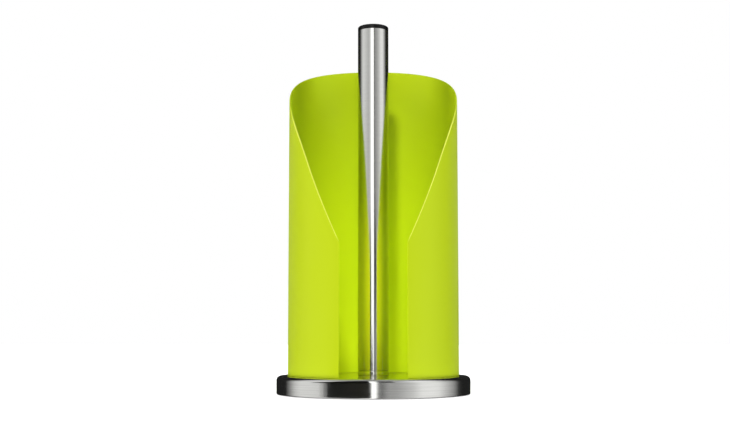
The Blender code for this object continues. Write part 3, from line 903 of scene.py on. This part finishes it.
# The rim's arc runs smoothly into the slope: radius = drop / (1 / cos slope - 1), where drop is how far the
# slope, drawn on to the middle of the back, would pass above the rim's highest point.
slit_bearing = math.pi - math.asin(slit_width / 2 / mantle_radius)
slit_along = mantle_radius * slit_bearing
rim_drop = slit_top - mantle_high.z + math.tan(rim_slope) * slit_along
rim_radius = rim_drop / (1 / math.cos(rim_slope) - 1)
fillet_height = slit_top - slit_fillet * math.tan((math.pi / 2 - rim_slope) / 2)
# Half of the rim on the flat sheet: an arc from the back to the slope, the straight, and the slit's fillet.
slope = np.linspace(0, rim_slope, ARC_POINTS)
slope = np.concatenate([slope, np.linspace(rim_slope, math.pi / 2, FILLET_POINTS)])
on_arc = np.arange(len(slope)) < ARC_POINTS
half_along = np.where(on_arc, rim_radius, slit_fillet) * np.sin(slope)
half_along += np.where(on_arc, 0, slit_along - slit_fillet)
half_height = np.where(on_arc, rim_radius, slit_fillet) * np.cos(slope)
half_height += np.where(on_arc, mantle_high.z - rim_radius, fillet_height)
straight = np.linspace(0, 1, STRAIGHT_POINTS + 2)[1:-1]
run = half_along[ARC_POINTS] - half_along[ARC_POINTS - 1]
drop = half_height[ARC_POINTS] - half_height[ARC_POINTS - 1]
half_along = np.insert(half_along, ARC_POINTS, half_along[ARC_POINTS - 1] + straight * run)
half_height = np.insert(half_height, ARC_POINTS, half_height[ARC_POINTS - 1] + straight * drop)
slope = np.insert(slope, ARC_POINTS, np.full(STRAIGHT_POINTS, rim_slope))

# The whole rim, its left half first, and the directions that point out of the sheet along its borders.
rim_along = np.append(-half_along[:0:-1], half_along)
rim = np.stack([rim_along, np.append(half_height[:0:-1], half_height)], axis=1)
rim_turn = np.append(-slope[:0:-1], slope)
rim_out = np.stack([np.sin(rim_turn), np.cos(rim_turn)], axis=1)
seat_edge = np.stack([rim_along * (1 - sheet_edge / slit_along), np.full(len(rim), mantle_seat)], axis=1)
seat_out = np.tile([0.0, -1.0], (len(rim), 1))
seat_edge[[0, -1]] = [[-slit_along, mantle_seat], [slit_along, mantle_seat]]
seat_out[[0, -1]] = [[-1.0, -1.0], [1.0, -1.0]]

# Satin polyester powder, fused in an oven: an even lime colour with a faint orange-peel swell, a soft sheen
# that varies a little over 25 mm, and a painted highlight, a lighter lime, along the sloping cut edge.
lime = "#C3DC1C"
edge_highlight_lime = "#E9F56A"
orange_peel = 0.0015
sheen_patch = 0.025
powder_coat, tree, shader = new_material("lime powder coat on sheet steel", lime, 0.42, ior=1.5)
shader.inputs["Specular IOR Level"].default_value = 0.28
place = add(tree, "ShaderNodeTexCoord")
swell = add(
    tree, "ShaderNodeTexNoise", {"Vector": place.outputs["Object"], "Scale": 1 / orange_peel, "Detail": 2.0}
)
bump = add(tree, "ShaderNodeBump", {"Strength": 0.35, "Distance": 0.00003, "Height": swell.outputs["Fac"]})
tree.links.new(bump.outputs[0], shader.inputs["Normal"])
cloud = add(
    tree, "ShaderNodeTexNoise", {"Vector": place.outputs["Object"], "Scale": 1 / sheen_patch, "Detail": 3.0}
)
sheen = add(tree, "ShaderNodeMapRange", {"Value": cloud.outputs["Fac"], "To Min": 0.32, "To Max": 0.44})
tree.links.new(sheen.outputs[0], shader.inputs["Roughness"])

# Painted highlight: a lighter lime mixed in along the sloping cut edge, where light would catch it.
edge_share = add(tree, "ShaderNodeAttribute", attribute_name="cut edge")
coat_colour = add(
    tree,
    "ShaderNodeMix",
    {"Factor": edge_share.outputs["Fac"], "A": linear(lime), "B": linear(edge_highlight_lime)},
    data_type="RGBA",
)
tree.links.new(coat_colour.outputs["Result"], shader.inputs["Base Color"])

points, faces = formed_sheet(seat_edge, seat_out, rim, rim_out, MANTLE_ROWS, sheet, sheet_edge, rolled)

# The highlight on the cut edge is painted, not lit: only from the slit's corner up to where the rim levels
# off.
edge_highlight_top = 0.232
edge_highlight_fade = 0.020
at_edge = np.clip((points[:, 2] - slit_top) / slit_fillet, 0, 1)
at_edge *= np.clip((edge_highlight_top - points[:, 2]) / edge_highlight_fade, 0, 1)
at_edge[: 2 * MANTLE_ROWS * len(rim)] = 0

# Tabs: three plates with rounded corners, each with a hole for its clinch nut, joined to the sheet's inside.
# A plate's radius at angle a is (|cos a / half width| to the power p + |sin a / reach| to the power p) to the
# power -1 / p, with p high enough for small round corners.
tab_half_width = 0.0070
tab_depth = 0.0090
tab_hole = 0.0032
tab_lift = 0.0002
tab_root = 0.0004  # how far a tab runs into the sheet
tab_corner_power = 9
half_edge = sheet_edge * 0.3  # stands off from the corner of an edge's round, at its middle
tab_circle = mantle_radius - sheet / 2 - tab_depth / 2
tab_reach = tab_depth / 2 + tab_root
tab_floor = mantle_low.z + tab_lift
tab_roof = tab_floor + sheet
for bearing_degrees in (0, 115, 245):
    bearing = math.radians(bearing_degrees)
    centre = (-tab_circle * math.sin(bearing), tab_circle * math.cos(bearing))
    turned_by = screw_angle - bearing
    plate = (np.abs(np.cos(turned_by)) / tab_half_width) ** tab_corner_power
    plate += (np.abs(np.sin(turned_by)) / tab_reach) ** tab_corner_power
    plate = plate ** (-1 / tab_corner_power)
    outline = [
        (tab_hole, tab_floor + sheet_edge),
        (tab_hole, tab_roof - sheet_edge),
        (tab_hole + sheet_edge, tab_roof),
        (plate - sheet_edge, tab_roof),
        (plate - half_edge, tab_roof - half_edge),
        (plate, tab_roof - sheet_edge),
        (plate, tab_floor + sheet_edge),
        (plate - half_edge, tab_floor + half_edge),
        (plate - sheet_edge, tab_floor),
        (tab_hole + sheet_edge, tab_floor),
    ]
    tab_points, tab_faces, _, _ = turned_surface(outline, steps=SCREW_STEPS, centre=centre)
    faces = np.concatenate([faces, tab_faces.reshape(-1, 4) + len(points)])
    points = np.concatenate([points, tab_points.reshape(-1, 3)])
at_edge = np.concatenate([at_edge, np.zeros(len(points) - len(at_edge))])
new_piece("mantle_sheet", points, faces, powder_coat, ["mantle"], at_edge=at_edge)
